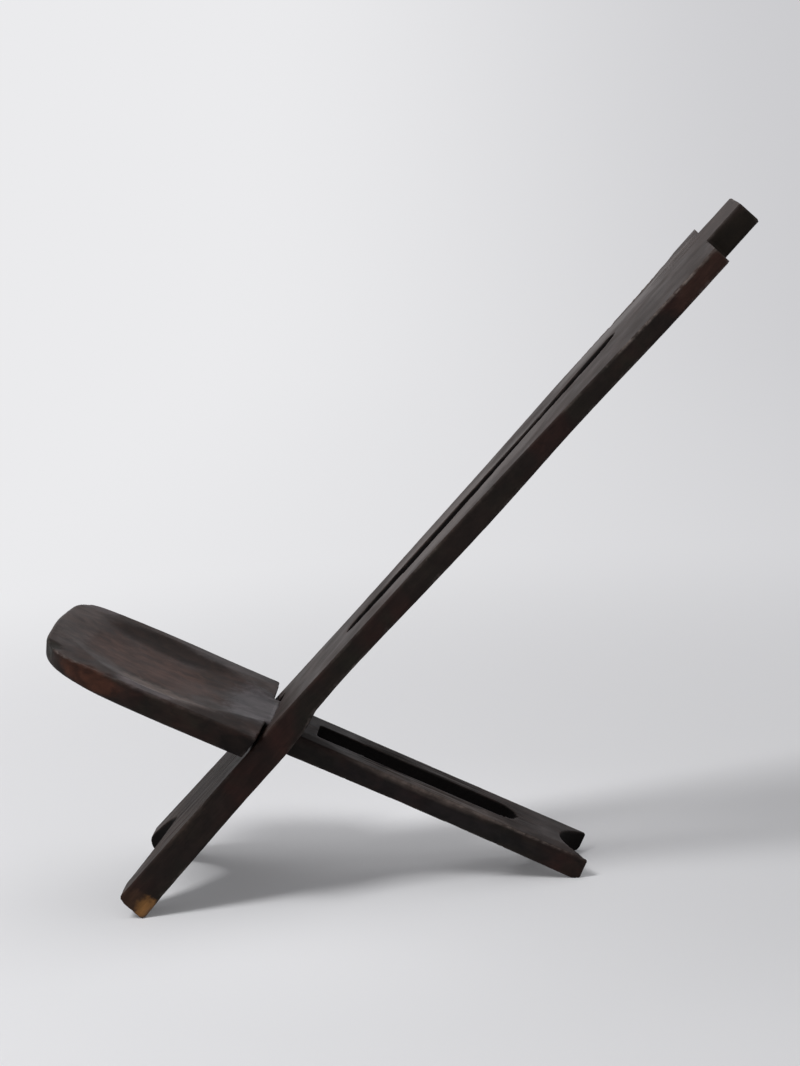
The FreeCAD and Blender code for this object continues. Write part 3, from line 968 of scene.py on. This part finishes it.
def sweep(stage):
    """A sheet of paper that lies on the floor and curves up behind the chair."""
    sheet = bmesh.new()
    near_edge = sheet.verts.new((SHEET_HALF, -SHEET_HALF, 0))
    fold = sheet.verts.new((SHEET_FAR, -SHEET_HALF, 0))
    sheet.edges.new((near_edge, fold))
    curve = bmesh.ops.spin(
        sheet, geom=[fold], cent=(SHEET_FAR, -SHEET_HALF, SHEET_BEND), axis=(0, 1, 0),
        angle=math.radians(90), steps=BEND_STEPS, use_merge=False,
    )
    last = [v for v in curve["geom_last"] if isinstance(v, bmesh.types.BMVert)]
    rise = bmesh.ops.extrude_vert_indiv(sheet, verts=last)
    bmesh.ops.translate(sheet, verts=rise["verts"], vec=(0, 0, SHEET_RISE))
    across = bmesh.ops.extrude_edge_only(sheet, edges=sheet.edges[:])
    moved = [v for v in across["geom"] if isinstance(v, bmesh.types.BMVert)]
    bmesh.ops.translate(sheet, verts=moved, vec=(0, 2 * SHEET_HALF, 0))
    bmesh.ops.recalc_face_normals(sheet, faces=sheet.faces)
    for face in sheet.faces:
        face.smooth = True
    mesh = bpy.data.meshes.new("paper_sweep")
    sheet.to_mesh(mesh)
    sheet.free()
    mesh.materials.append(paper(stage))
    piece = bpy.data.objects.new("paper_sweep", mesh)
    bpy.context.collection.objects.link(piece)


def softbox(context, name, place, aim, width, power):
    """A square soft light at a place, turned to what it lights."""
    lamp = bpy.data.lights.new(name, "AREA")
    lamp.shape = "SQUARE"
    lamp.size = width
    lamp.energy = power
    box = bpy.data.objects.new(name, lamp)
    box.location = place
    box.rotation_mode = "QUATERNION"
    box.rotation_quaternion = (Vector(aim) - Vector(place)).to_track_quat("-Z", "Y")
    context.collection.objects.link(box)


def lights(context, stage):
    """A soft key from the picture's front left, a wide light overhead and a dim even room."""
    softbox(context, "Key softbox", stage.key_place, stage.key_aim, stage.key_width, stage.key)
    softbox(
        context, "Overhead", stage.overhead_place, (0, 0, 0), stage.overhead_width, stage.overhead
    )
    world = bpy.data.worlds.new("Pale room")
    world.use_nodes = True
    room = world.node_tree
    room.nodes.clear()
    strength = add(
        room, "ShaderNodeMapRange",
        {"Value": seen_light(room), "To Min": stage.world, "To Max": stage.world_seen},
    ).outputs[0]
    glow = add(
        room, "ShaderNodeBackground", {"Color": linear(stage.room), "Strength": strength}
    )
    add(room, "ShaderNodeOutputWorld", {"Surface": glow.outputs[0]})
    context.scene.world = world


def camera(context, stage):
    """The photograph's own viewpoint; the sensor's long side is the picture's long side."""
    lens = bpy.data.cameras.new("Camera")
    lens.sensor_width = SENSOR
    lens.lens = stage.lens
    lens.clip_start = SEES_FROM
    lens.clip_end = SEES_TO
    eye = bpy.data.objects.new("Camera", lens)
    bearing = math.radians(stage.azimuth)
    height = math.radians(stage.elevation)
    behind = Vector((
        math.sin(bearing) * math.cos(height), -math.cos(bearing) * math.cos(height),
        math.sin(height),
    ))
    right = (-behind).cross(Vector((0, 0, 1))).normalized()
    up = right.cross(-behind)
    tilt = math.radians(stage.roll)
    turned_right = right * math.cos(tilt) + up * math.sin(tilt)
    turned_up = -right * math.sin(tilt) + up * math.cos(tilt)
    place = Matrix((turned_right, turned_up, behind)).transposed().to_4x4()
    place.translation = stage.eye
    eye.matrix_world = place
    context.collection.objects.link(eye)
    context.scene.camera = eye


class CHAIR_PT_panel(bpy.types.Panel):
    """Lists the planks and the stage in the 3D view's sidebar"""

    bl_idname = "CHAIR_PT_panel"
    bl_label = "African Birthing Chair"
    bl_space_type = "VIEW_3D"
    bl_region_type = "UI"
    bl_category = "Chair"

    def draw(self, context):
        for operator in OPERATORS:
            self.layout.operator(operator.bl_idname)
        for group in (context.scene.chair_wood, context.scene.chair_stage):
            box = self.layout.box()
            for name in group.bl_rna.properties.keys():
                if name not in {"rna_type", "name"}:
                    box.prop(group, name)


OPERATORS = (CHAIR_OT_back_plank, CHAIR_OT_seat_plank, CHAIR_OT_stage)
CLASSES = (ChairWood, ChairStage) + OPERATORS + (CHAIR_PT_panel,)


def register():
    for cls in CLASSES:
        bpy.utils.register_class(cls)
    bpy.types.Scene.chair_wood = PointerProperty(type=ChairWood)
    bpy.types.Scene.chair_stage = PointerProperty(type=ChairStage)


def unregister():
    del bpy.types.Scene.chair_stage
    del bpy.types.Scene.chair_wood
    for cls in reversed(CLASSES):
        bpy.utils.unregister_class(cls)


def main():
    register()
    bpy.ops.birthing_chair.back_plank()
    bpy.ops.birthing_chair.seat_plank()
    bpy.ops.birthing_chair.stage()


if __name__ == "__main__":
    main()
